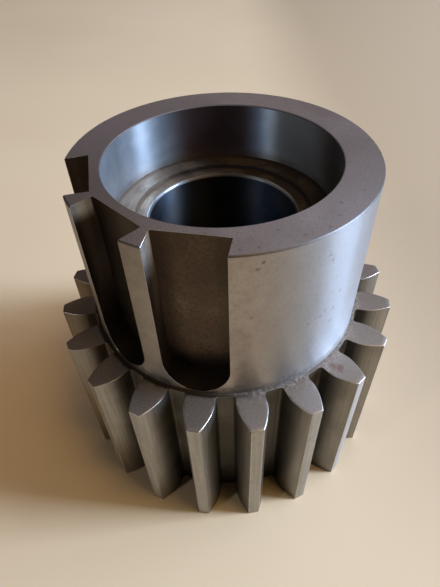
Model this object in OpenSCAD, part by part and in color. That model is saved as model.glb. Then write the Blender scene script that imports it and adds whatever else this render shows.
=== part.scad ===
// Spur pinion made from one steel bar, with a slotted hub and a stepped bore.
// The rim is hobbed, the hub and the bore are turned, and the slots are milled into the hub.
// Origin at the centre of the toothed end's face, +Z along the bore towards the hub's open end.
// The middle slot faces -Y.

/* [Teeth] */
// Number of teeth
tooth_count = 20; // [18:1:26]
// Module, the pitch diameter divided by the number of teeth
tooth_module = 4; // [3.8:0.05:5]
// Pressure angle of the flanks, in degrees
pressure_angle = 20; // [17:0.5:24]
// Radius of the fillet between a flank and the root
root_fillet_r = 0.8; // [0.6:0.1:1.8]
// Length of the teeth along the axis
face_w = 45; // [25:1:80]
// Angle from the middle slot to its nearest tooth, in degrees
tooth_phase = -1.1; // [-9:0.1:9]

/* [Hub] */
// Length of the hub beyond the teeth
hub_len = 40; // [25:1:70]
// Radius of the fillet where the hub meets the end face of the teeth
hub_fillet_r = 0.3; // [0.2:0.1:2]
// Chamfer around the hub's outer rim
hub_chamfer = 0.3; // [0.1:0.1:1.5]

/* [Slots] */
// Number of slots, side by side
slot_count = 3; // [1:2:7]
// Width of a slot, which is the diameter of the end mill
slot_w = 15; // [8:0.5:20]
// Depth of a slot from the hub's surface to its flat floor
slot_depth = 6; // [3:0.25:9]
// Width of the rib between two slots, at their floors
rib_foot_w = 1.8; // [1:0.1:12]
// Distance from the end face of the teeth to the round end of a slot
slot_end_gap = 0.5; // [0.1:0.1:10]
// Wall between the floor of a slot and the bearing seat
slot_wall = 2.25; // [1:0.25:6]

/* [Bore] */
// Diameter of the bore through the pinion
shaft_bore_d = 35; // [20:0.5:40]
// Chamfer at each end of that bore
shaft_bore_chamfer = 0.6; // [0.2:0.1:1.5]
// Diameter of the bearing seat in the open end of the hub
seat_d = 52; // [50:0.5:60]
// Depth of the bearing seat
seat_depth = 14; // [6:0.5:30]
// Chamfer at the mouth of the bearing seat
seat_chamfer = 0.3; // [0.2:0.1:1.5]
// Width of the land that the bearing's outer ring stands on
seat_land_w = 5; // [1:0.25:6]
// Depth of the recess inside that land
seat_recess = 1; // [0.3:0.1:3]

/* [Hidden] */

$fn = 96;

// How far a cutter runs past the face that it cuts through
run_out = 2;
// Straight steps in one flank, in one fillet of a tooth and in the hub's fillet
flank_steps = 10;
fillet_steps = 5;

pitch_r = tooth_module * tooth_count / 2;
tip_r = pitch_r + tooth_module;
root_r = pitch_r - 1.25 * tooth_module;
base_r = pitch_r * cos(pressure_angle);

shaft_bore_r = shaft_bore_d / 2;
seat_r = seat_d / 2;
seat_recess_r = seat_r - seat_land_w;
slot_floor_r = seat_r + slot_wall;
hub_r = slot_floor_r + slot_depth;

total_h = face_w + hub_len;
seat_floor_z = total_h - seat_depth;
seat_recess_z = seat_floor_z - seat_recess;
slot_end_z = face_w + slot_end_gap;

// Angle between two slots that leaves a rib of rib_foot_w between the corners of their floors
slot_corner_r = norm([slot_w / 2, slot_floor_r]);
slot_pitch = 2 * atan(slot_w / 2 / slot_floor_r) + 2 * asin(rib_foot_w / 2 / slot_corner_r);

// A point at radius r, turned by an angle from the +Y axis towards +X
function polar(r, angle) = r * [sin(angle), cos(angle)];

// The involute function of the point of a flank at radius r, in degrees
function involute(r) = tan(acos(base_r / r)) * 180 / PI - acos(base_r / r);

// Half of the angle that a tooth space spans at radius r
function space_half_angle(r) = 90 / tooth_count - involute(pitch_r) + involute(r);

// The root fillet is never larger than a full round between two teeth
base_half_angle = space_half_angle(base_r);
full_round_r = root_r * sin(base_half_angle) / (1 - sin(base_half_angle));
fillet_r = min(root_fillet_r, full_round_r);

// Where the fillet leaves the flank, and the angle of the fillet's centre
fillet_centre_r = root_r + fillet_r;
fillet_top_r = sqrt(fillet_centre_r ^ 2 - fillet_r ^ 2);
flank_foot_r = max(base_r, fillet_top_r);
flank_foot_angle = space_half_angle(flank_foot_r);
fillet_centre_angle = flank_foot_angle - asin(fillet_r / fillet_centre_r);

// One flank of a tooth space from beyond the tip to its foot, in equal steps of the roll angle
roll_top = tan(acos(base_r / (tip_r + run_out)));
roll_foot = tan(acos(base_r / flank_foot_r));
flank = [
    for (step = [0 : flank_steps])
        let (roll = roll_top + (roll_foot - roll_top) * step / flank_steps)
        let (r = base_r * sqrt(1 + roll ^ 2))
        polar(r, space_half_angle(r))
];

// The fillet from the foot of that flank round to the root
fillet_turn = 90 + fillet_centre_angle - flank_foot_angle;
fillet = [
    for (step = [0 : fillet_steps])
        let (angle = flank_foot_angle + fillet_turn * step / fillet_steps)
        polar(fillet_centre_r, fillet_centre_angle) + fillet_r * [cos(angle), -sin(angle)]
];

space_side = concat(flank, fillet);
space_outline = concat(
    space_side,
    [[0, root_r]],
    [for (i = [len(space_side) - 1 : -1 : 0]) [-space_side[i].x, space_side[i].y]]
);

// Half section of the hub, which stands on the end face of the teeth
hub_section = concat(
    [[0, face_w]],
    [
        for (step = [0 : fillet_steps])
            let (angle = 90 * step / fillet_steps)
            [hub_r + hub_fillet_r * (1 - sin(angle)), face_w + hub_fillet_r * (1 - cos(angle))]
    ],
    [
        [hub_r, total_h - hub_chamfer],
        [hub_r - hub_chamfer, total_h],
        [0, total_h]
    ]
);

// Half section of what is bored out, from the toothed end to the mouth of the seat
bore_section = [
    [0, -run_out],
    [shaft_bore_r + shaft_bore_chamfer + run_out, -run_out],
    [shaft_bore_r, shaft_bore_chamfer],
    [shaft_bore_r, seat_recess_z - shaft_bore_chamfer],
    [shaft_bore_r + shaft_bore_chamfer, seat_recess_z],
    [seat_recess_r, seat_recess_z],
    [seat_recess_r, seat_floor_z],
    [seat_r, seat_floor_z],
    [seat_r, total_h - seat_chamfer],
    [seat_r + seat_chamfer + run_out, total_h + run_out],
    [0, total_h + run_out]
];

// The space between two teeth, as the hob leaves it, centred on -Y
module tooth_space() {
    translate([0, 0, -run_out])
        linear_extrude(face_w + 2 * run_out)
            rotate(180)
                polygon(space_outline);
}

// A slot centred on -Y, as the end mill leaves it: a round end, and open at the hub's face
module slot_cut() {
    slot_end_centre = slot_end_z + slot_w / 2;
    translate([0, -slot_floor_r, 0])
        rotate([90, 0, 0])
            linear_extrude(slot_depth + run_out) {
                translate([0, slot_end_centre])
                    circle(d = slot_w);
                translate([-slot_w / 2, slot_end_centre])
                    square([slot_w, total_h + run_out - slot_end_centre]);
            }
}

module toothed_rim() {
    difference() {
        cylinder(r = tip_r, h = face_w);
        for (i = [0 : tooth_count - 1])
            rotate(tooth_phase + (i + 0.5) * 360 / tooth_count)
                tooth_space();
    }
}

module slotted_hub() {
    difference() {
        rotate_extrude()
            polygon(hub_section);
        for (i = [0 : slot_count - 1])
            rotate((i - (slot_count - 1) / 2) * slot_pitch)
                slot_cut();
    }
}

module pinion() {
    color([0.45, 0.42, 0.40])
        difference() {
            union() {
                toothed_rim();
                slotted_hub();
            }
            rotate_extrude()
                polygon(bore_section);
        }
}

pinion();
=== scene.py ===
import math

import bmesh
import bpy
from mathutils import Matrix, Vector, noise


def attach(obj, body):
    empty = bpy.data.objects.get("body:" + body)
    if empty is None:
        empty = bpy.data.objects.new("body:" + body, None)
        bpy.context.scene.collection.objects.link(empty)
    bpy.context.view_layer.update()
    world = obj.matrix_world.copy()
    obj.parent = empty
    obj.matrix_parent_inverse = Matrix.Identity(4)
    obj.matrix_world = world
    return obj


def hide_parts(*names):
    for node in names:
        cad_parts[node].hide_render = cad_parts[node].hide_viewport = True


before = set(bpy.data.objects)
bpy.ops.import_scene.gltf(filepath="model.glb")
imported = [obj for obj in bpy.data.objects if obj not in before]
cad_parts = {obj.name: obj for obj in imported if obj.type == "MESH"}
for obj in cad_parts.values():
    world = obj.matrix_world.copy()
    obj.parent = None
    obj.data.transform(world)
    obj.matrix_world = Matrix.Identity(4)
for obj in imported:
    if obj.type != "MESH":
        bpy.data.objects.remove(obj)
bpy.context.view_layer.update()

# Toothed rim
# Twenty straight involute teeth, cut by a hob into the turned end of one steel bar.
# The hob leaves satin flanks; the tips and the end faces keep the lathe's finish.

MM = 0.001
tooth_count = 20
tooth_module = 4 * MM
# Depth of a tooth below its pitch circle, in modules
dedendum = 1.25
pressure_angle = math.radians(20)
face_width = 45 * MM
total_height = 85 * MM
root_fillet = 0.8 * MM
tooth_phase = math.radians(-1.1)
# The end faces are meshed down to this ring, just outside the hub's foot
rim_inner_radius = 34.75 * MM
flank_steps = 10
fillet_steps = 5
columns_across_tooth = 8
# Points of the rim closer than this are one
rim_weld = 0.001 * MM
# The middle of the side that has stayed clean, as an angle from the middle slot towards +X
clean_angle = 2.1


class Value:
    """One output in a node tree. Arithmetic on it adds Math nodes to that tree."""

    def __init__(self, graph, socket):
        self.graph = graph
        self.socket = socket

    def output(self, name):
        return Value(self.graph, self.socket.node.outputs[name])

    def math(self, operation, *terms):
        return self.graph.node("ShaderNodeMath", {"operation": operation}, dict(enumerate(terms)))

    def __add__(self, other):
        return self.math("ADD", self, other)

    def __radd__(self, other):
        return self.math("ADD", other, self)

    def __sub__(self, other):
        return self.math("SUBTRACT", self, other)

    def __rsub__(self, other):
        return self.math("SUBTRACT", other, self)

    def __mul__(self, other):
        return self.math("MULTIPLY", self, other)

    def __rmul__(self, other):
        return self.math("MULTIPLY", other, self)

    def __truediv__(self, other):
        return self.math("DIVIDE", self, other)

    def __rtruediv__(self, other):
        return self.math("DIVIDE", other, self)

    def __gt__(self, other):
        return self.math("GREATER_THAN", self, other)

    def __lt__(self, other):
        return self.math("LESS_THAN", self, other)

    def __abs__(self):
        return self.math("ABSOLUTE", self)

    def sin(self):
        return self.math("SINE", self)

    def cos(self):
        return self.math("COSINE", self)

    def tan(self):
        return self.math("TANGENT", self)

    def arcsin(self):
        return self.math("ARCSINE", self)

    def arctan(self):
        return self.math("ARCTANGENT", self)

    def angle_from(self, other):
        return self.math("ARCTAN2", self, other)

    def root(self):
        return self.math("SQRT", self)

    def larger(self, other):
        return self.math("MAXIMUM", self, other)

    def smaller(self, other):
        return self.math("MINIMUM", self, other)

    def ramp(self, start, end):
        """0 below start, 1 above end and a smooth step between them. Start may be the larger one."""
        inputs = {"Value": self, "From Min": start, "From Max": end}
        return self.graph.node("ShaderNodeMapRange", {"interpolation_type": "SMOOTHSTEP"}, inputs)


class Graph:
    """A node tree that is being built."""

    def __init__(self, tree):
        self.tree = tree
        tree.nodes.clear()

    def feed(self, socket, value):
        if isinstance(value, Value):
            self.tree.links.new(value.socket, socket)
        else:
            socket.default_value = value

    def node(self, kind, settings={}, inputs={}):
        made = self.tree.nodes.new(kind)
        for name, value in settings.items():
            setattr(made, name, value)
        for name, value in inputs.items():
            several = value if isinstance(value, list) else [value]
            for single in several:
                self.feed(made.inputs[name], single)
        return Value(self, made.outputs[0]) if len(made.outputs) else None

    def vector(self, x, y, z):
        return self.node("ShaderNodeCombineXYZ", {}, {"X": x, "Y": y, "Z": z})


class Finish(Graph):
    """The nodes of one steel finish, on Object coordinates and round the pinion's axis."""

    def __init__(self, name):
        self.material = bpy.data.materials.new(name)
        self.material.use_nodes = True
        super().__init__(self.material.node_tree)
        self.place = self.node("ShaderNodeTexCoord").output("Object")
        self.x = self.node("ShaderNodeSeparateXYZ", {}, {"Vector": self.place})
        self.y = self.x.output("Y")
        self.z = self.x.output("Z")
        self.radius = (self.x * self.x + self.y * self.y).root()
        # The angle from the middle slot, towards +X
        self.turn = self.x.angle_from(0 - self.y)
        # 1 in the middle of the clean side and -1 opposite, without a seam
        self.clean_side = (self.turn - clean_angle).cos()

    def noise(self, scale, detail=3.0, roughness=0.55, place=None):
        inputs = {"Vector": place or self.place, "Scale": scale, "Detail": detail, "Roughness": roughness}
        return self.node("ShaderNodeTexNoise", {"noise_dimensions": "3D"}, inputs)

    def mix(self, share, first, second):
        """Colour first where share is 0, and second where it is 1."""
        settings = {"data_type": "RGBA", "blend_type": "MIX"}
        return self.node("ShaderNodeMix", settings, {0: share, 6: first, 7: second}).output(2)

    def lay(self, across, pitch, length):
        """Fine parallel marks round the axis, pitch apart across them and about length long."""
        place = self.vector(across / pitch, self.x / length, self.y / length)
        return self.noise(1.0, 3.0, 0.6, place)

    def strokes(self, pitch, length):
        """Fine marks along the axis, pitch apart and about length long."""
        place = self.vector(self.x / pitch, self.y / pitch, self.z / length)
        return self.noise(1.0, 3.0, 0.6, place)

    def pits(self, spacing, size, share):
        """Small corrosion pits: 1 in a pit and 0 outside. Only that share of the cells has one."""
        settings = {"feature": "F1", "distance": "EUCLIDEAN"}
        bent = self.noise(2.6 / size, 2.0).ramp(0.3, 0.7) * (0.5 * size)
        cell = self.node("ShaderNodeTexVoronoi", settings, {"Vector": self.place, "Scale": 1 / spacing})
        chance = self.node("ShaderNodeSeparateColor", {}, {"Color": cell.output("Color")})
        reach = cell * spacing + bent
        return (1 - reach.ramp(0.3 * size, size)) * (chance < share)

    def spots(self, places, size):
        """1 near any of the places, which are points with a ragged edge, and 0 elsewhere."""
        ragged = self.noise(1.1 / size, 4.0, 0.7).ramp(0.3, 0.7) * (0.7 * size)
        found = None
        for place in places:
            inputs = {0: self.place, 1: place}
            reach = self.node("ShaderNodeVectorMath", {"operation": "DISTANCE"}, inputs).output("Value")
            spot = 1 - (reach + ragged - 0.3 * size).ramp(0.1 * size, size)
            found = spot if found is None else found.larger(spot)
        return found

    def close(self, colour, roughness, metallic, height, depth, streak):
        """Ends the finish: steel with that colour and relief, and streak as its anisotropy."""
        inputs = {"Height": height, "Distance": depth, "Strength": 1.0}
        normal = self.node("ShaderNodeBump", {}, inputs)
        surface = self.node("ShaderNodeBsdfPrincipled", {}, {
            "Base Color": colour,
            "Roughness": roughness,
            "Metallic": metallic,
            "Normal": normal,
            "Anisotropic": streak,
            "Anisotropic Rotation": 0.25,
        })
        self.node("ShaderNodeOutputMaterial", {}, {"Surface": surface})
        return self.material


def on_wall(angle, radius, height):
    """The point at an angle in degrees from the middle slot towards +X."""
    turn = math.radians(angle)
    return Vector((radius * math.sin(turn), -radius * math.cos(turn), height))


rust = (0.105, 0.045, 0.017, 1)


def make_hobbed_flanks():
    finish = Finish("hobbed_flanks")
    strokes = finish.strokes(0.55 * MM, 16 * MM)
    mottle = finish.noise(420, 4.0)
    film_and_shade = finish.noise(70, 3.0).ramp(0.40, 0.72)
    # An oil film in patches, and painted shade darker towards the roots of the tooth spaces
    low = finish.radius.ramp(43.2 * MM, 36 * MM)
    oil_and_root_shade = (film_and_shade * 0.25 + low * 0.8).smaller(1)
    bare = finish.mix(strokes.ramp(0.25, 0.75), (0.275, 0.258, 0.228, 1), (0.39, 0.372, 0.34, 1))
    colour = finish.mix(oil_and_root_shade * 0.9, bare, (0.058, 0.044, 0.028, 1))
    # Browner on the side by the slots
    brown = finish.turn.ramp(0.1, -0.5) * finish.turn.ramp(-2.2, -1.6)
    colour = finish.mix(brown * 0.35, colour, (0.13, 0.085, 0.048, 1))
    # Painted shade darkens the flanks below the hub's brightest side
    shaded = (finish.turn - 1.3).cos().ramp(0.8, 0.97)
    colour = finish.mix(shaded * 0.42, colour, (0.085, 0.073, 0.054, 1))
    # Painted shade, with some black oil, lies low in the tooth spaces
    deep_oil_and_shade = low * finish.z.ramp(30 * MM, 2 * MM)
    colour = finish.mix(deep_oil_and_shade * 0.75, colour, (0.014, 0.011, 0.007, 1))
    specks = finish.pits(1.6 * MM, 0.22 * MM, 0.25)
    colour = finish.mix(specks * 0.6, colour, rust)
    rusty = finish.spots([on_wall(82, 35 * MM, 42 * MM)], 4 * MM)
    colour = finish.mix(rusty * 0.95, colour, (0.042, 0.018, 0.006, 1))
    roughness = 0.30 + strokes * 0.12 + oil_and_root_shade * 0.2
    metallic = 1 - oil_and_root_shade * 0.25 - rusty * 0.5
    height = strokes * 0.5 + mottle * 0.2 - specks * 0.6
    return finish.close(colour, roughness, metallic, height, 0.015 * MM, 0.0)


def make_tooth_tips():
    finish = Finish("tooth_tips")
    strokes = finish.strokes(0.4 * MM, 18 * MM)
    mottle = finish.noise(330, 4.0)
    bare = finish.mix(strokes.ramp(0.25, 0.75), (0.34, 0.326, 0.30, 1), (0.48, 0.466, 0.445, 1))
    colour = finish.mix(mottle.ramp(0.5, 0.8) * 0.4, bare, (0.20, 0.175, 0.14, 1))
    roughness = 0.32 + strokes * 0.10 + mottle * 0.05
    height = strokes * 0.5 + mottle * 0.2
    return finish.close(colour, roughness, 1.0, height, 0.012 * MM, 0.75)


def make_turned_faces():
    finish = Finish("turned_faces")
    turning = finish.lay(finish.radius, 0.4 * MM, 9 * MM)
    grain = finish.noise(2400, 3.0, 0.7)
    mottle = finish.noise(420, 5.0, 0.65)
    cloud = finish.noise(60, 3.0)
    on_teeth = finish.z < face_width + 1 * MM
    bare = finish.mix(cloud.ramp(0.35, 0.65), (0.30, 0.275, 0.272, 1), (0.365, 0.345, 0.345, 1))
    # Browner and darker on the side by the slots
    left = (finish.turn + 1.0).cos().ramp(0.1, 0.9)
    bare = finish.mix(left * 0.8, bare, (0.265, 0.232, 0.225, 1))
    bare = finish.mix(finish.clean_side.ramp(0.84, 0.99) * 0.75, bare, (0.285, 0.26, 0.245, 1))
    # The teeth are browner below the hub's clean side, and a few beside it are soiled
    tanned = finish.clean_side.ramp(0.35, 0.8)
    tooth_bare = finish.mix(tanned, (0.36, 0.338, 0.335, 1), (0.285, 0.248, 0.208, 1))
    soiled = (finish.turn - 1.26).cos().ramp(0.93, 0.99) * (0.25 + cloud.ramp(0.3, 0.7) * 0.15)
    tooth_bare = finish.mix(soiled, tooth_bare, (0.15, 0.115, 0.085, 1))
    bare = finish.mix(on_teeth, bare, tooth_bare)
    colour = finish.mix(grain.ramp(0.4, 0.75) * 0.6, bare, (0.17, 0.145, 0.135, 1))
    colour = finish.mix(mottle.ramp(0.52, 0.78) * 0.4, colour, (0.18, 0.15, 0.135, 1))
    # On the teeth, oil has crept out from the hub's foot, with painted shade beside the hub, and the teeth
    # by the slots are browned with painted shade
    foot = finish.radius.ramp(37.6 * MM, 34.8 * MM) * finish.noise(480, 4.0).ramp(0.25, 0.65)
    foot = foot * finish.clean_side.ramp(0.75, 0.5)
    brown = finish.turn.ramp(0.35, -0.3) * finish.turn.ramp(-1.9, -1.3)
    oil_and_shade = on_teeth * (foot * 0.75).larger(brown * (0.45 + cloud.ramp(0.3, 0.7) * 0.3))
    colour = finish.mix(oil_and_shade, colour, (0.10, 0.070, 0.044, 1))
    # Painted shade darkens the narrow ledge at the hub's foot, except on the clean side
    ledge = on_teeth * finish.radius.ramp(35.7 * MM, 35.1 * MM) * finish.clean_side.ramp(0.5, 0.2)
    colour = finish.mix(ledge * 0.88, colour, (0.036, 0.026, 0.018, 1))
    # Crusts stand on the foot of the teeth away from the slots
    crust = on_teeth * finish.radius.ramp(37.8 * MM, 35.2 * MM) * finish.clean_side.ramp(0.17, 0.5)
    crust = crust * finish.noise(1300, 3.0).ramp(0.46, 0.66)
    colour = finish.mix(crust * 0.65, colour, (0.35, 0.29, 0.255, 1))
    # The pits crowd on one side of the hub's open end
    crowd = finish.turn.ramp(0.7, 1.2) * finish.turn.ramp(2.3, 1.8)
    pits = finish.pits(0.9 * MM, 0.26 * MM, 0.35) * (0.35 + crowd * 0.65)
    face_pits = [on_wall(angle, radius * MM, total_height) for angle, radius in (
        (79.3, 32.8), (86.5, 31.6), (142.5, 32.9), (70.5, 32.3), (104.9, 31.5), (49.6, 32.7),
        (55.2, 32.6), (93.0, 29.4), (64.0, 29.0), (47.2, 30.6))]
    tooth_rust = [on_wall(angle, radius * MM, face_width) for angle, radius in (
        (79.9, 34.9), (87.0, 36.9), (88.0, 38.3))]
    pits = pits.larger(finish.spots(face_pits, 0.55 * MM) * 0.8)
    rusty = finish.spots(tooth_rust, 1.6 * MM)
    colour = finish.mix(pits * 0.75, colour, (0.085, 0.064, 0.056, 1))
    colour = finish.mix(rusty * 0.72, colour, (0.13, 0.058, 0.035, 1))
    # The chamfer at the seat's mouth is dull
    mouth = finish.radius.ramp(26.5 * MM, 26.3 * MM) * (finish.z > face_width)
    colour = finish.mix(mouth * 0.6, colour, (0.12, 0.10, 0.095, 1))
    roughness = 0.40 + grain * 0.12 + mottle * 0.10 + oil_and_shade * 0.1 + mouth * 0.15
    metallic = 1 - pits * 0.3 - rusty * 0.4 - oil_and_shade * 0.2 - crust * 0.4
    height = turning * 0.25 + grain * 0.35 + mottle * 0.25 - pits * 0.7 + crust * 1.5
    return finish.close(colour, roughness, metallic, height, 0.022 * MM, 0.2)


hobbed_flanks = make_hobbed_flanks()
tooth_tips = make_tooth_tips()
turned_faces = make_turned_faces()


def make_tooth_tree():
    """A node tree that makes the whole rim from the sizes of the gear."""
    tree = bpy.data.node_groups.new("hobbed_teeth", "GeometryNodeTree")
    graph = Graph(tree)
    sizes = {
        "Teeth": tooth_count,
        "Module": tooth_module,
        "Pressure Angle": pressure_angle,
        "Face Width": face_width,
        "Root Fillet": root_fillet,
        "Phase": tooth_phase,
        "Inner Radius": rim_inner_radius,
    }
    for name in sizes:
        tree.interface.new_socket(name, in_out="INPUT", socket_type="NodeSocketFloat")
    tree.interface.new_socket("Geometry", in_out="OUTPUT", socket_type="NodeSocketGeometry")
    teeth = graph.node("NodeGroupInput")
    module = teeth.output("Module")
    alpha = teeth.output("Pressure Angle")
    width = teeth.output("Face Width")
    fillet = teeth.output("Root Fillet")
    inner = teeth.output("Inner Radius")

    pitch = module * teeth / 2
    tip = pitch + module
    root = pitch - dedendum * module
    base = pitch * alpha.cos()
    half_pitch = math.pi / teeth
    # Half of the angle that a tooth and a space span at the base circle
    base_tooth = half_pitch / 2 + alpha.tan() - alpha
    base_space = half_pitch - base_tooth
    centre_radius = root + fillet
    centre_angle = base_space - (fillet / centre_radius).arcsin()
    fillet_top = (centre_radius * centre_radius - fillet * fillet).root()
    root_tooth = half_pitch - centre_angle
    tip_roll = (tip * tip / (base * base) - 1).root()

    # Each stretch of the tooth's outline gives a radius and a half angle, as share runs from 0 to 1
    def flank(share):
        roll = tip_roll * (1 - share)
        return base * (1 + roll * roll).root(), base_tooth - roll + roll.arctan()

    def neck(share):
        return base + (fillet_top - base) * share, base_tooth

    def corner(share):
        swing = base_space + (math.pi / 2 + centre_angle - base_space) * share
        across = centre_radius * centre_angle.sin() + fillet * swing.cos()
        out = centre_radius * centre_angle.cos() - fillet * swing.sin()
        return (across * across + out * out).root(), half_pitch - across.angle_from(out)

    def root_land(share):
        return root, root_tooth + (half_pitch - root_tooth) * share

    def foot(share):
        return root + (inner - root) * share, root_tooth

    def patch(columns, rows, shape):
        """A grid of unit size, moved to where shape puts its shares along x and y."""
        grid = graph.node("GeometryNodeMeshGrid", {}, {
            "Size X": 1.0, "Size Y": 1.0, "Vertices X": columns + 1, "Vertices Y": rows + 1})
        place = graph.node("GeometryNodeInputPosition")
        along = graph.node("ShaderNodeSeparateXYZ", {}, {"Vector": place})
        radius, angle, height = shape(along + 0.5, along.output("Y") + 0.5)
        where = graph.vector(radius * angle.sin(), 0 - radius * angle.cos(), height)
        return graph.node("GeometryNodeSetPosition", {}, {"Geometry": grid, "Position": where})

    def wall(stretch, steps, side):
        def shape(share, rise):
            radius, angle = stretch(share)
            return radius, angle * side, rise * width
        return patch(steps, 1, shape)

    def end_face(stretch, steps, level):
        def shape(share, across):
            radius, angle = stretch(share)
            return radius, angle * (across * 2 - 1), width * level
        return patch(steps, columns_across_tooth, shape)

    def space_face(level, side):
        def shape(share, across):
            angle = root_tooth + (half_pitch - root_tooth) * across
            return root + (inner - root) * share, angle * side, width * level
        return patch(1, 1, shape)

    def tip_land(across, rise):
        return tip, flank(0 * across)[1] * (across * 2 - 1), rise * width

    outline = ((flank, flank_steps), (neck, 1), (corner, fillet_steps), (root_land, 1))
    face_rows = ((flank, flank_steps), (neck, 1), (corner, fillet_steps), (foot, 1))
    patches = [patch(columns_across_tooth, 1, tip_land)]
    patches += [wall(stretch, steps, side) for stretch, steps in outline for side in (-1, 1)]
    patches += [end_face(stretch, steps, level) for stretch, steps in face_rows for level in (0, 1)]
    patches += [space_face(level, side) for level in (0, 1) for side in (-1, 1)]
    tooth = graph.node("GeometryNodeJoinGeometry", {}, {"Geometry": patches})

    spots = graph.node("GeometryNodePoints", {}, {"Count": teeth})
    number = graph.node("GeometryNodeInputIndex")
    turned = graph.vector(0, 0, number * 2 * half_pitch + teeth.output("Phase"))
    rotation = graph.node("FunctionNodeEulerToRotation", {}, {"Euler": turned})
    rim = graph.node("GeometryNodeInstanceOnPoints", {}, {
        "Points": spots, "Instance": tooth, "Rotation": rotation})
    rim = graph.node("GeometryNodeRealizeInstances", {}, {"Geometry": rim})
    rim = graph.node("GeometryNodeMergeByDistance", {}, {"Geometry": rim, "Distance": rim_weld})

    # Faces that look up or down are end faces, and those high on a tooth that look outwards are tips
    normal = graph.node("GeometryNodeInputNormal")
    place = graph.node("GeometryNodeInputPosition")
    upright = graph.node("ShaderNodeSeparateXYZ", {}, {"Vector": normal}).output("Z")
    x = graph.node("ShaderNodeSeparateXYZ", {}, {"Vector": place})
    y = x.output("Y")
    radius = (x * x + y * y).root()
    outward = graph.node("ShaderNodeVectorMath", {"operation": "DOT_PRODUCT"}, {0: normal, 1: place})
    facing_out = abs(outward.output("Value")) > radius * 0.8
    is_tip = facing_out * (radius > pitch) * (abs(upright) < 0.5)
    finishes = ((hobbed_flanks, True), (tooth_tips, is_tip), (turned_faces, abs(upright) > 0.5))
    for material, chosen in finishes:
        rim = graph.node("GeometryNodeSetMaterial", {}, {
            "Geometry": rim, "Selection": chosen, "Material": material})
    graph.node("NodeGroupOutput", {}, {"Geometry": rim})
    return tree, sizes


def mesh_of(made):
    """The evaluated object's mesh, as a plain one."""
    view = bpy.context.evaluated_depsgraph_get()
    evaluated = made.evaluated_get(view)
    return bpy.data.meshes.new_from_object(evaluated, preserve_all_data_layers=True, depsgraph=view)


def make_rim():
    tree, sizes = make_tooth_tree()
    holder = bpy.data.objects.new("rim_blank", bpy.data.meshes.new("rim_blank"))
    bpy.context.scene.collection.objects.link(holder)
    modifier = holder.modifiers.new("hobbed_teeth", "NODES")
    modifier.node_group = tree
    for socket in tree.interface.items_tree:
        if socket.in_out == "INPUT":
            modifier[socket.identifier] = float(sizes[socket.name])
    rim = mesh_of(holder)
    bpy.data.objects.remove(holder)
    return rim


rim_mesh = make_rim()

# Hub and its slots
# The turned end of the same bar, ground bright, with three end-milled slots side by side.
# Each slot has a flat floor and a full round end, and runs out through the hub's end face.

slot_width = 15 * MM
slot_depth = 6 * MM
slot_floor_radius = 28.25 * MM
hub_radius = slot_floor_radius + slot_depth
hub_fillet = 0.3 * MM
hub_chamfer = 0.3 * MM
rib_foot = 1.8 * MM
slot_end_gap = 0.5 * MM
slot_half = slot_width / 2
slot_pitch = 2 * math.atan(slot_half / slot_floor_radius)
slot_pitch += 2 * math.asin(rib_foot / 2 / math.hypot(slot_half, slot_floor_radius))
# Height of the centre of a slot's round end
slot_end_height = face_width + slot_end_gap + slot_half
slot_arc_steps = 18
column_step = math.radians(2)


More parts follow.
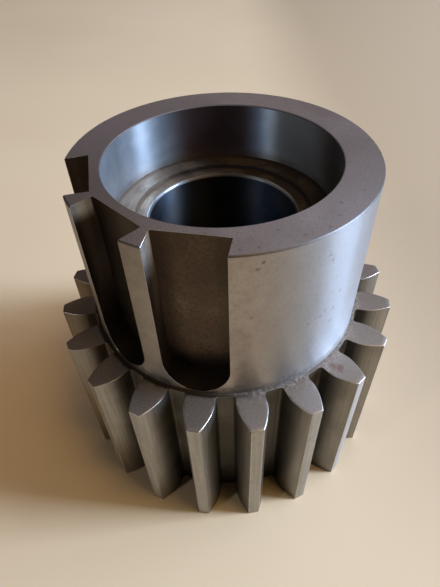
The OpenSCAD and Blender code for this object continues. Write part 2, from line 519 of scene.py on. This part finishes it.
def make_ground_hub():
    finish = Finish("ground_hub")
    grinding = finish.lay(finish.z, 0.45 * MM, 10 * MM)
    grain = finish.noise(1900, 3.0, 0.7)
    mottle = finish.noise(380, 5.0, 0.65)
    cloud = finish.noise(45, 3.0)
    warm = finish.mix(cloud.ramp(0.35, 0.65), (0.40, 0.355, 0.325, 1), (0.455, 0.41, 0.38, 1))
    cool = finish.mix(cloud.ramp(0.35, 0.65), (0.345, 0.355, 0.375, 1), (0.39, 0.405, 0.43, 1))
    bare = finish.mix(finish.clean_side.ramp(0.3, 0.7), warm, cool)
    # A painted highlight of the window: a narrow bluish stripe, the brightest on the hub
    wear_and_highlight = (finish.turn - 1.49).cos().ramp(0.986, 0.9995)
    bare = finish.mix(wear_and_highlight * 0.9, bare, (0.425, 0.455, 0.50, 1))
    colour = finish.mix(grain.ramp(0.45, 0.8) * 0.35, bare, (0.20, 0.175, 0.155, 1))
    # A haze of rust beside the slots
    haze = finish.clean_side.ramp(0.66, 0.22) * mottle.ramp(0.4, 0.7)
    ribs = finish.turn.ramp(0.45, 0.35) * finish.turn.ramp(-1.2, -0.9)
    colour = finish.mix(haze * (0.35 - ribs * 0.25), colour, (0.20, 0.125, 0.095, 1))
    # The ribs between the slots are the dirtiest
    far_rib = finish.turn.ramp(0.1, -0.1) * 0.42
    ribs = ribs * (0.3 + far_rib + mottle.ramp(0.35, 0.65) * 0.12)
    colour = finish.mix(ribs, colour, (0.15, 0.15, 0.12, 1))
    # Oil and dirt have dried in the corner at the foot, and painted shade darkens it, most by the slots
    ragged = finish.noise(420, 4.0).ramp(0.3, 0.7) * (1.8 * MM)
    dirt_and_shade = (finish.z - face_width + ragged).ramp(4.2 * MM, 1.6 * MM)
    grime_and_shade = finish.mix(finish.clean_side.ramp(0.0, 0.34), (0.055, 0.041, 0.031, 1), (0.165, 0.148, 0.13, 1))
    # The chamfer at the rim and the fillet at the foot are not ground
    fillet = finish.z.ramp(face_width + 0.5 * MM, face_width + 0.25 * MM)
    rim = finish.z.ramp(total_height - 0.36 * MM, total_height - 0.3 * MM)
    dull = fillet.larger(rim)
    colour = finish.mix(rim * 0.7, colour, (0.15, 0.14, 0.135, 1))
    colour = finish.mix(fillet * 0.6, colour, (0.17, 0.155, 0.145, 1))
    # The corner's dirt and painted shade cover the fillet too
    colour = finish.mix((dirt_and_shade * 0.75).larger(fillet * 0.92), colour, grime_and_shade)
    # Part of the dirt is a pale crust
    crust = dirt_and_shade * finish.noise(1300, 3.0).ramp(0.46, 0.68) * finish.clean_side.ramp(0.0, 0.45)
    colour = finish.mix(crust * 0.6, colour, (0.32, 0.285, 0.255, 1))
    # Scars, scattered pits and two dots of rust
    rust_dots = [on_wall(angle, hub_radius, height * MM) for angle, height in (
        (55.9, 83.0), (54.4, 81.6))]
    scars = [on_wall(angle, hub_radius, height * MM) for angle, height in (
        (77.2, 63.7), (81.1, 64.5), (85.6, 63.3), (79.1, 63.6), (73.9, 63.0), (80.4, 78.1),
        (79.0, 79.7), (87.8, 67.6), (52.8, 69.7), (85.3, 59.7))]
    pits = (finish.spots(scars, 0.7 * MM) * 0.7).larger(finish.pits(2.2 * MM, 0.3 * MM, 0.22) * 0.6)
    rusty = finish.spots(rust_dots, 0.6 * MM)
    colour = finish.mix(pits * 0.6, colour, (0.13, 0.115, 0.10, 1))
    colour = finish.mix(rusty * 0.8, colour, rust)
    roughness = 0.35 + mottle * 0.05 + grinding * 0.05 + dirt_and_shade * 0.14 + dull * 0.16 + fillet * 0.12
    # Rougher towards the foot
    roughness = roughness + finish.z.ramp(60 * MM, 47 * MM) * 0.06
    metallic = 1 - pits * 0.25 - rusty * 0.6 - dirt_and_shade * 0.2 - crust * 0.4
    height = grinding * 0.2 + mottle * 0.15 + grain * 0.1 - pits * 0.6 - rusty * 0.3 + crust * 1.5
    return finish.close(colour, roughness, metallic, height, 0.015 * MM, 0.8)


def make_milled_slots():
    finish = Finish("milled_slots")
    feed_marks = finish.lay(finish.z, 0.8 * MM, 6 * MM)
    grain = finish.noise(1500, 5.0, 0.7)
    cloud = finish.noise(110, 4.0)
    # How far a point stands out from the floor of its slot, and aside from the slot's middle
    number = finish.turn.math("ROUND", finish.turn / slot_pitch)
    rise = finish.radius * (finish.turn - number * slot_pitch).cos() - slot_floor_radius
    aside = finish.radius * (finish.turn - number * slot_pitch).sin()
    wall = rise.ramp(0.1 * MM, 0.6 * MM)
    bare = finish.mix(grain.ramp(0.3, 0.7), (0.098, 0.072, 0.050, 1), (0.235, 0.180, 0.130, 1))
    rusty = (cloud.ramp(0.36, 0.66) * 0.6 + grain.ramp(0.5, 0.75) * 0.5).smaller(1)
    colour = finish.mix(rusty * 0.75, bare, (0.082, 0.039, 0.019, 1))
    lit_wall = finish.mix(grain.ramp(0.3, 0.7), (0.36, 0.345, 0.32, 1), (0.45, 0.435, 0.41, 1))
    # Painted light: the walls are bright bare steel near the open end, deepest in the near slot and not at
    # all on the last wall
    inside = total_height - finish.z
    near = finish.turn > 0.29
    depth = 5 * MM + near * (5.5 * MM)
    bright = inside.ramp(depth, 1.5 * MM) * (finish.turn > -0.6)
    # Painted shade darkens one side of the floor, and the other side is less rusty
    colour = finish.mix(aside.ramp(-2.5 * MM, -6.5 * MM) * 0.6, colour, (0.022, 0.014, 0.009, 1))
    colour = finish.mix(aside.ramp(3 * MM, 6 * MM) * 0.45, colour, (0.075, 0.064, 0.042, 1))
    # Painted shade darkens that side's edge, and the floor is darker towards the open end
    edge = aside.ramp(6.2 * MM, 7.3 * MM) * 0.6
    top = finish.z.ramp(64 * MM, 82 * MM) * 0.55
    colour = finish.mix(edge.larger(top), colour, (0.040, 0.023, 0.013, 1))
    # The painted light on the upper walls
    colour = finish.mix(wall * bright * (0.75 + near * 0.2 - rusty * 0.2), colour, lit_wall)
    # Painted shade blackens the closed ends, and the two slots on the far side all over
    end_shade = finish.z.ramp(slot_end_height + 1 * MM, face_width + 3 * MM)
    far_slot_shade = (1 - near) * (1 - wall * bright) * (0.55 + inside.ramp(3 * MM, 12 * MM) * 0.25)
    colour = finish.mix((end_shade * 0.88).larger(far_slot_shade), colour, (0.014, 0.009, 0.006, 1))
    # One corner of the middle slot's floor is only dusty
    dusty = aside.ramp(-3 * MM, 3 * MM) * inside.ramp(13 * MM, 3 * MM)
    dusty = dusty * (1 - near) * (1 - wall)
    colour = finish.mix(dusty * 0.85, colour, (0.105, 0.100, 0.073, 1))
    roughness = 0.44 + grain * 0.14 + rusty * 0.12
    metallic = 1 - rusty * 0.45 - end_shade * 0.3
    height = feed_marks * 0.4 + grain * 0.6
    return finish.close(colour, roughness, metallic, height, 0.04 * MM, 0.0)


# Zones of the pinion's surface, each with its own finish
zones = ["hobbed_flanks", "tooth_tips", "turned_faces", "ground_hub", "milled_slots",
         "bearing_seat", "seat_floor", "shaft_bore", "broken_edges"]
make_ground_hub()
make_milled_slots()

pinion_mesh = bmesh.new()
pinion_mesh.from_mesh(rim_mesh)
rim_zones = [zones.index(material.name) if material else None for material in rim_mesh.materials]
for face in pinion_mesh.faces:
    face.material_index = rim_zones[face.material_index]


def add_face(corners, zone):
    face = pinion_mesh.faces.new(corners)
    face.material_index = zones.index(zone)


def add_point(angle, radius, height):
    return pinion_mesh.verts.new((radius * math.sin(angle), -radius * math.cos(angle), height))


def steps_between(start, end):
    """Angles after start and before end, evenly spaced and no wider apart than a column."""
    count = math.ceil((end - start) / column_step)
    return [start + (end - start) * step / count for step in range(1, count)]


def foot_points(angle):
    """The fillet from the end face of the teeth up to the hub's wall, at one column."""
    points = []
    for step in range(fillet_steps + 1):
        swing = math.pi / 2 * step / fillet_steps
        radius = hub_radius + hub_fillet * (1 - math.sin(swing))
        points.append(add_point(angle, radius, face_width + hub_fillet * (1 - math.cos(swing))))
    return points


def add_hub():
    edge_angle = math.asin(slot_half / hub_radius)
    rim_radius = hub_radius - hub_chamfer
    rim_edge_angle = math.asin(slot_half / rim_radius)
    shoulder = total_height - hub_chamfer
    # Each column is its foot, the point where it ends or a slot begins, and its two points at the rim
    columns = []
    outline = []

    def plain_column(angle):
        rim = [add_point(angle, hub_radius, shoulder), add_point(angle, rim_radius, total_height)]
        columns.append({"foot": foot_points(angle), "rim": rim, "stop": None, "plain": True})
        outline.append(rim[1])

    for number in (-1, 0, 1):
        middle = number * slot_pitch
        floor_points = []
        turn = Matrix.Rotation(middle, 3, "Z")
        for step in range(slot_arc_steps + 1):
            swing = math.pi * (step / slot_arc_steps - 0.5)
            aside = slot_half * math.sin(swing)
            height = slot_end_height - slot_half * math.cos(swing)
            angle = middle + math.asin(aside / hub_radius)
            stop = add_point(angle, hub_radius, height)
            floor_points.append(pinion_mesh.verts.new(turn @ Vector((aside, -slot_floor_radius, height))))
            rim = None
            if step in (0, slot_arc_steps):
                side = math.copysign(1, aside)
                rim = [add_point(middle + side * edge_angle, hub_radius, shoulder),
                       add_point(middle + side * rim_edge_angle, rim_radius, total_height)]
            columns.append({"foot": foot_points(angle), "rim": rim, "stop": stop, "plain": False})
            if step:
                before = columns[-2]
                add_face([before["foot"][-1], columns[-1]["foot"][-1], stop, before["stop"]], "ground_hub")
                add_face([before["stop"], stop, floor_points[-1], floor_points[-2]], "milled_slots")
        ends = [turn @ Vector((side * slot_half, -slot_floor_radius, total_height)) for side in (1, -1)]
        corners = [pinion_mesh.verts.new(end) for end in ends]
        add_face(floor_points + corners, "milled_slots")
        first = columns[-1 - slot_arc_steps]
        last = columns[-1]
        sides = ((first, floor_points[0], corners[1]), (last, floor_points[-1], corners[0]))
        for column, low, high in sides:
            add_face([low, high, column["rim"][1], column["rim"][0], column["stop"]], "milled_slots")
        outline.extend([first["rim"][1], corners[1], corners[0], last["rim"][1]])
        start = middle + edge_angle
        end = middle + slot_pitch - edge_angle if number < 1 else 2 * math.pi - slot_pitch - edge_angle
        for angle in steps_between(start, end):
            plain_column(angle)

    for left, right in zip(columns, columns[1:] + columns[:1]):
        for low, high in zip(range(fillet_steps), range(1, fillet_steps + 1)):
            corners = [left["foot"][low], right["foot"][low], right["foot"][high], left["foot"][high]]
            add_face(corners, "ground_hub")
        if left["plain"] or right["plain"]:
            stops = [column["stop"] for column in (right, left)]
            wall = [left["foot"][-1], right["foot"][-1]]
            wall += [stops[0]] if stops[0] else []
            wall += [right["rim"][0], left["rim"][0]]
            wall += [stops[1]] if stops[1] else []
            add_face(wall, "ground_hub")
            add_face([left["rim"][0], right["rim"][0], right["rim"][1], left["rim"][1]], "ground_hub")
    return outline


hub_outline = add_hub()

# Bearing seat and bore
# A polished seat for a bearing in the open end, a turned land for its ring and a plain bore right through.
# The land and the recess beside it hold old oil and rust, and painted shade darkens most of them.

bore_radius = 17.5 * MM
bore_chamfer = 0.6 * MM
seat_radius = 26 * MM
seat_chamfer = 0.3 * MM
seat_depth = 14 * MM
land_width = 5 * MM
recess_depth = 1 * MM
seat_floor_height = total_height - seat_depth
recess_radius = seat_radius - land_width
recess_height = seat_floor_height - recess_depth
oil_film = (0.115, 0.085, 0.050, 1)


def make_bearing_seat():
    finish = Finish("bearing_seat")
    honing = finish.lay(finish.z, 0.4 * MM, 12 * MM)
    mottle = finish.noise(240, 4.0)
    bare = finish.mix(mottle.ramp(0.35, 0.7), (0.37, 0.415, 0.46, 1), (0.445, 0.495, 0.545, 1))
    # Brown oil stands low on the seat's wall
    low = finish.z.ramp(seat_floor_height + 3 * MM, seat_floor_height + 0.3 * MM)
    low = low * (finish.z > recess_height + 0.5 * MM)
    brown = low * (0.55 + mottle.ramp(0.3, 0.7) * 0.45)
    # Painted shade darkens the far wall
    film_and_shade = (finish.turn + 2.3).cos().ramp(0.86, 0.98)
    colour = finish.mix(film_and_shade * 0.9, bare, (0.104, 0.048, 0.041, 1))
    # Greyer on the side away from the slots, and painted shade dims its near end
    grey = (finish.turn - 2.8).cos().ramp(0.7, 0.95)
    colour = finish.mix(grey * 0.75, colour, (0.46, 0.42, 0.35, 1))
    dim = (finish.turn - 2.36).cos().ramp(0.91, 0.995)
    colour = finish.mix(dim * 0.78, colour, (0.10, 0.10, 0.095, 1))
    # The lip round the bore is dull on the far side
    lip = (finish.z < recess_height + 0.5 * MM) * (finish.turn + 2.35).cos().ramp(0.72, 0.92)
    colour = finish.mix(lip * 0.85, colour, (0.17, 0.145, 0.12, 1))
    colour = finish.mix(brown * 0.8, colour, (0.10, 0.064, 0.036, 1))
    roughness = 0.28 + honing * 0.05 + brown * 0.1 + lip * 0.3
    height = honing * 0.3
    return finish.close(colour, roughness, 0.8 - brown * 0.25, height, 0.008 * MM, 0.95)


def make_seat_floor():
    finish = Finish("seat_floor")
    turning = finish.lay(finish.radius, 0.6 * MM, 10 * MM)
    cloud = finish.noise(130, 4.0, 0.6)
    bare = finish.mix(turning.ramp(0.3, 0.7), (0.215, 0.168, 0.122, 1), (0.305, 0.25, 0.193, 1))
    # Rust lies in the corner under the seat's wall and beside the land's step
    corner = finish.radius.ramp(seat_radius - 1.6 * MM, seat_radius - 0.4 * MM)
    below_land = finish.z < seat_floor_height - 0.2 * MM
    step = finish.radius.ramp(recess_radius - 1.2 * MM, recess_radius) * below_land
    # Painted shade, in the colour of dark rust, covers all but the side by the slots
    side = (finish.turn + 0.9).cos().ramp(0.9, 0.3)
    rusty = cloud.ramp(0.40, 0.66) * 0.4 + corner * 0.3 + step * 0.15 + side * 0.85
    rusty = rusty.smaller(1)
    colour = finish.mix(rusty * 0.98, bare, (0.020, 0.009, 0.003, 1))
    roughness = 0.42 + turning * 0.12 + rusty * 0.15
    height = turning * 0.6 + cloud * 0.4
    return finish.close(colour, roughness, 0.55 - rusty * 0.3, height, 0.03 * MM, 0.2)


def make_shaft_bore():
    finish = Finish("shaft_bore")
    turning = finish.lay(finish.z, 0.5 * MM, 9 * MM)
    mottle = finish.noise(200, 4.0)
    bare = finish.mix(mottle.ramp(0.3, 0.7), (0.055, 0.072, 0.095, 1), (0.085, 0.107, 0.135, 1))
    film_and_shade = finish.noise(70, 3.0).ramp(0.45, 0.7) * 0.4
    colour = finish.mix(film_and_shade, bare, oil_film)
    # Painted shade blackens the far wall
    far = (finish.turn + 2.3).cos().ramp(0.5, 0.95)
    colour = finish.mix(far * 0.85, colour, (0.012, 0.012, 0.013, 1))
    roughness = 0.46 + turning * 0.06 + film_and_shade * 0.1
    height = turning * 0.4
    return finish.close(colour, roughness, 1 - film_and_shade * 0.2, height, 0.012 * MM, 0.95)


make_bearing_seat()
make_seat_floor()
make_shaft_bore()


def add_bore():
    section = [
        (bore_radius + bore_chamfer, 0, None),
        (bore_radius, bore_chamfer, "shaft_bore"),
        (bore_radius, recess_height - bore_chamfer, "shaft_bore"),
        (bore_radius + bore_chamfer, recess_height, "bearing_seat"),
        (recess_radius, recess_height, "seat_floor"),
        (recess_radius, seat_floor_height, "seat_floor"),
        (seat_radius, seat_floor_height, "seat_floor"),
        (seat_radius, total_height - seat_chamfer, "bearing_seat"),
        (seat_radius + seat_chamfer, total_height, "turned_faces"),
    ]
    count = round(2 * math.pi / column_step)
    before = None
    for radius, height, zone in section:
        ring = [add_point(2 * math.pi * step / count, radius, height) for step in range(count)]
        if before:
            for step in range(count):
                after = (step + 1) % count
                add_face([before[step], before[after], ring[after], ring[step]], zone)
        before = ring
    return before


seat_mouth = add_bore()

# The finished pinion
# Rim, hub and bore are one solid, so the flat end faces are closed between their outlines here.
# A file has broken the outside edges by about a sixth of a millimetre, less at the roots of the teeth,
# and use has polished them. The turned chamfers stay crisp.

edge_break = 0.16 * MM
# Shares of that break on the hub, on the long edges of the teeth, and the least share at their ends
hub_share = 0.55
long_edge_share = 0.6
least_share = 0.4
# How much narrower the break at a tooth's end grows with each module towards the root
narrowing = 0.6
# The break varies by this share, over about this length
wear_spread = 0.25
wear_length = 6 * MM
# Points of the pinion closer than this are one, and points this close to a level lie on it
seam_weld = 0.002 * MM
level_slack = 0.001 * MM
# The hub's end face is cut at these sixteenths of its outline, where its columns are plain
end_face_cuts = (4, 8, 12, 15)


def make_broken_edges():
    finish = Finish("broken_edges")
    mottle = finish.noise(700, 4.0, 0.6)
    bright = finish.mix(mottle.ramp(0.35, 0.7), (0.42, 0.405, 0.385, 1), (0.58, 0.565, 0.55, 1))
    # Dull at the roots of the teeth, where nothing rubs
    dull = finish.radius.ramp(40 * MM, 37.5 * MM) * (finish.z < face_width + 1 * MM)
    # The long edges of the teeth by the slots are less worn
    fresh = (finish.z < face_width - 0.4 * MM) * finish.clean_side.ramp(0.36, 0.1)
    colour = finish.mix(fresh * 0.6, bright, (0.24, 0.22, 0.185, 1))
    colour = finish.mix(dull * 0.85, colour, (0.10, 0.085, 0.068, 1))
    roughness = 0.24 + mottle * 0.2 + dull * 0.25 + fresh * 0.12
    return finish.close(colour, roughness, 1.0, mottle, 0.02 * MM, 0.0)


make_broken_edges()


def close_hub_end():
    """The hub's end face, in a few faces from its outline to the seat's mouth."""
    cuts = [len(hub_outline) * part // 16 for part in end_face_cuts]
    inner_cuts = []
    for cut in cuts:
        reach = [(point.co - hub_outline[cut].co).length for point in seat_mouth]
        inner_cuts.append(reach.index(min(reach)))
    count = len(seat_mouth)
    for part in range(len(cuts)):
        start, end = cuts[part - 1], cuts[part]
        outer_count = (end - start) % len(hub_outline)
        outer = [hub_outline[(start + step) % len(hub_outline)] for step in range(outer_count + 1)]
        inner_start, inner_end = inner_cuts[part - 1], inner_cuts[part]
        inner_count = (inner_end - inner_start) % count
        inner = [seat_mouth[(inner_start + step) % count] for step in range(inner_count + 1)]
        add_face(outer + inner[::-1], "turned_faces")


def close_flats():
    close_hub_end()
    bmesh.ops.remove_doubles(pinion_mesh, verts=pinion_mesh.verts[:], dist=seam_weld)
    for level in (0, face_width):
        outline = [edge for edge in pinion_mesh.edges
                   if edge.is_boundary and all(abs(v.co.z - level) < level_slack for v in edge.verts)]
        made = bmesh.ops.triangle_fill(pinion_mesh, edges=outline, use_beauty=True, normal=(0, 0, 1))
        for face in made["geom"]:
            if isinstance(face, bmesh.types.BMFace):
                face.material_index = zones.index("turned_faces")
    bmesh.ops.recalc_face_normals(pinion_mesh, faces=pinion_mesh.faces[:])


def break_edges():
    """Gives each outside edge its share of the largest edge break, and keeps inside corners sharp."""
    weight = pinion_mesh.edges.layers.float.new("bevel_weight_edge")
    # The turned chamfers stay crisp
    least_turn = math.radians(50)
    pitch_radius = tooth_module * tooth_count / 2
    for edge in pinion_mesh.edges:
        if edge.calc_face_angle(0) < least_turn:
            continue
        if not edge.is_convex:
            edge.smooth = False
            continue
        middle = (edge.verts[0].co + edge.verts[1].co) / 2
        radius = math.hypot(middle.x, middle.y)
        wear_and_highlight = 1 + wear_spread * noise.noise(middle / wear_length)
        # The steps in the bore stay sharp
        if radius < slot_floor_radius - slot_depth / 2:
            edge.smooth = False
        elif middle.z > face_width + hub_fillet:
            edge[weight] = hub_share * wear_and_highlight
        elif abs(edge.verts[0].co.z - edge.verts[1].co.z) > face_width / 2:
            edge[weight] = long_edge_share * wear_and_highlight
        else:
            share = 1 + narrowing * (radius - pitch_radius) / tooth_module
            edge[weight] = wear_and_highlight * min(1, max(least_share, share))


def make_pinion():
    for face in pinion_mesh.faces:
        face.smooth = True
    mesh = bpy.data.meshes.new("pinion_body")
    pinion_mesh.to_mesh(mesh)
    for name in zones:
        mesh.materials.append(bpy.data.materials[name])
    made = bpy.data.objects.new("pinion_blank", mesh)
    bpy.context.scene.collection.objects.link(made)
    bevel = made.modifiers.new("edge_break", "BEVEL")
    bevel.limit_method = "WEIGHT"
    bevel.width = edge_break
    bevel.segments = 2
    bevel.use_clamp_overlap = False
    bevel.loop_slide = False
    bevel.material = zones.index("broken_edges")
    weighted = made.modifiers.new("flat_faces", "WEIGHTED_NORMAL")
    weighted.keep_sharp = True
    finished = mesh_of(made)
    bpy.data.objects.remove(made)
    pinion = bpy.data.objects.new("machined_pinion", finished)
    bpy.context.scene.collection.objects.link(pinion)
    return pinion


close_flats()
break_edges()
pinion = make_pinion()
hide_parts("pinion")
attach(pinion, "root")

# Floor
# A plain, pale and warm table top, on which the pinion stands with its toothed end.
# It is one flat sheet with faint clouds, and a little darker beside the pinion towards the window.

floor_half = 1.5
table_pale = (0.74, 0.58, 0.38, 1)
table_warm = (0.70, 0.54, 0.35, 1)
table_dark = (0.48, 0.36, 0.228, 1)


def make_floor():
    material = bpy.data.materials.new("pale_table")
    material.use_nodes = True
    graph = Graph(material.node_tree)
    place = graph.node("ShaderNodeTexCoord").output("Object")
    cloud = graph.node("ShaderNodeTexNoise", {}, {"Vector": place, "Scale": 6.0, "Detail": 3.0})
    colour = graph.node("ShaderNodeMix", {"data_type": "RGBA"}, {
        0: cloud.ramp(0.3, 0.7), 6: table_warm, 7: table_pale}).output(2)
    x = graph.node("ShaderNodeSeparateXYZ", {}, {"Vector": place})
    shade = (x + x.output("Y")).ramp(0.02, 0.14) * (x - x.output("Y")).ramp(0.16, 0.02)
    colour = graph.node("ShaderNodeMix", {"data_type": "RGBA"}, {
        0: shade, 6: colour, 7: table_dark}).output(2)
    surface = graph.node("ShaderNodeBsdfPrincipled", {}, {"Base Color": colour, "Roughness": 0.55})
    graph.node("ShaderNodeOutputMaterial", {}, {"Surface": surface})
    mesh = bpy.data.meshes.new("table")
    corners = [(-floor_half, -floor_half, 0), (floor_half, -floor_half, 0),
               (floor_half, floor_half, 0), (-floor_half, floor_half, 0)]
    mesh.from_pydata(corners, [], [(0, 1, 2, 3)])
    mesh.materials.append(material)
    table = bpy.data.objects.new("table", mesh)
    bpy.context.scene.collection.objects.link(table)


make_floor()

# Light
# A tall cool window with a second, weaker pane to the right of the pinion, a small weak window on its left
# and a small warm lamp high up, in a dim room that is brighter and cooler on the window's side.

light_distance = 1.6
daylight = (0.60, 0.75, 1.0)
pale_light = (1.0, 0.97, 0.92)
lamp_light = (1.0, 0.64, 0.14)
room_dark = (0.026, 0.020, 0.016, 1)


def aim(angle, elevation):
    """The direction at an angle from the middle slot towards +X and an elevation, both in degrees."""
    turn = math.radians(angle)
    rise = math.radians(elevation)
    return Vector((math.sin(turn) * math.cos(rise), -math.cos(turn) * math.cos(rise), math.sin(rise)))


def add_window(name, towards, width, height, power, colour):
    """A rectangular area light that faces the pinion's middle."""
    lamp = bpy.data.lights.new(name, "AREA")
    lamp.shape = "RECTANGLE"
    lamp.size = width
    lamp.size_y = height
    lamp.energy = power
    lamp.color = colour
    made = bpy.data.objects.new(name, lamp)
    made.location = towards * light_distance + Vector((0, 0, total_height / 2))
    made.rotation_mode = "QUATERNION"
    made.rotation_quaternion = towards.to_track_quat("Z", "Y")
    bpy.context.scene.collection.objects.link(made)


add_window("window_right", aim(133, 30), width=0.38, height=0.8, power=45, colour=daylight)
add_window("window_pane", aim(155, 30), width=0.45, height=0.8, power=5.5, colour=daylight)
add_window("window_left", aim(-9, 35), width=0.10, height=0.4, power=2.3, colour=pale_light)
add_window("ceiling_lamp", aim(111, 71), width=0.4, height=0.4, power=4.3, colour=lamp_light)


def make_room():
    world = bpy.data.worlds.new("dim_room")
    bpy.context.scene.world = world
    world.use_nodes = True
    room = Graph(world.node_tree)
    direction = room.node("ShaderNodeTexCoord")
    # Each part of the room: where it is, the cosine at which it begins, and how bright it is in the middle
    parts = (
        (aim(195, 46), 0.5, (0.40, 0.31, 0.29, 1)),
        (aim(168, 10), 0.7, (0.52, 0.70, 0.97, 1)),
        (aim(130, 28), 0.8, (0.40, 0.54, 0.80, 1)),
    )
    colour = room_dark
    for towards, begin, bright in parts:
        inputs = {0: direction, 1: towards}
        facing = room.node("ShaderNodeVectorMath", {"operation": "DOT_PRODUCT"}, inputs).output("Value")
        settings = {"data_type": "RGBA", "blend_type": "ADD"}
        inputs = {0: facing.ramp(begin, 1.0), 6: colour, 7: bright}
        colour = room.node("ShaderNodeMix", settings, inputs).output(2)
    background = room.node("ShaderNodeBackground", {}, {"Color": colour, "Strength": 1.0})
    room.node("ShaderNodeOutputWorld", {}, {"Surface": background})


make_room()

# Camera
# Above the open end, looking down on it past the edge of the middle slot.
# A short lens close by, so the open end looks larger than the teeth below it.

camera_place = Vector((64.96, -64.96, 133.53)) * MM
camera_heading = math.radians(45.93)
camera_down = math.radians(44.62)
camera_roll = math.radians(-2.35)
camera_lens = 28.28
clip_near = 0.005
clip_far = 20

camera_data = bpy.data.cameras.new("camera")
camera_data.lens = camera_lens
camera_data.clip_start = clip_near
camera_data.clip_end = clip_far
camera = bpy.data.objects.new("camera", camera_data)
bpy.context.scene.collection.objects.link(camera)
camera.matrix_world = (
    Matrix.Translation(camera_place)
    @ Matrix.Rotation(camera_heading, 4, "Z")
    @ Matrix.Rotation(math.pi / 2 - camera_down, 4, "X")
    @ Matrix.Rotation(camera_roll, 4, "Z")
)
bpy.context.scene.camera = camera
bpy.context.scene.view_settings.view_transform = "Standard"
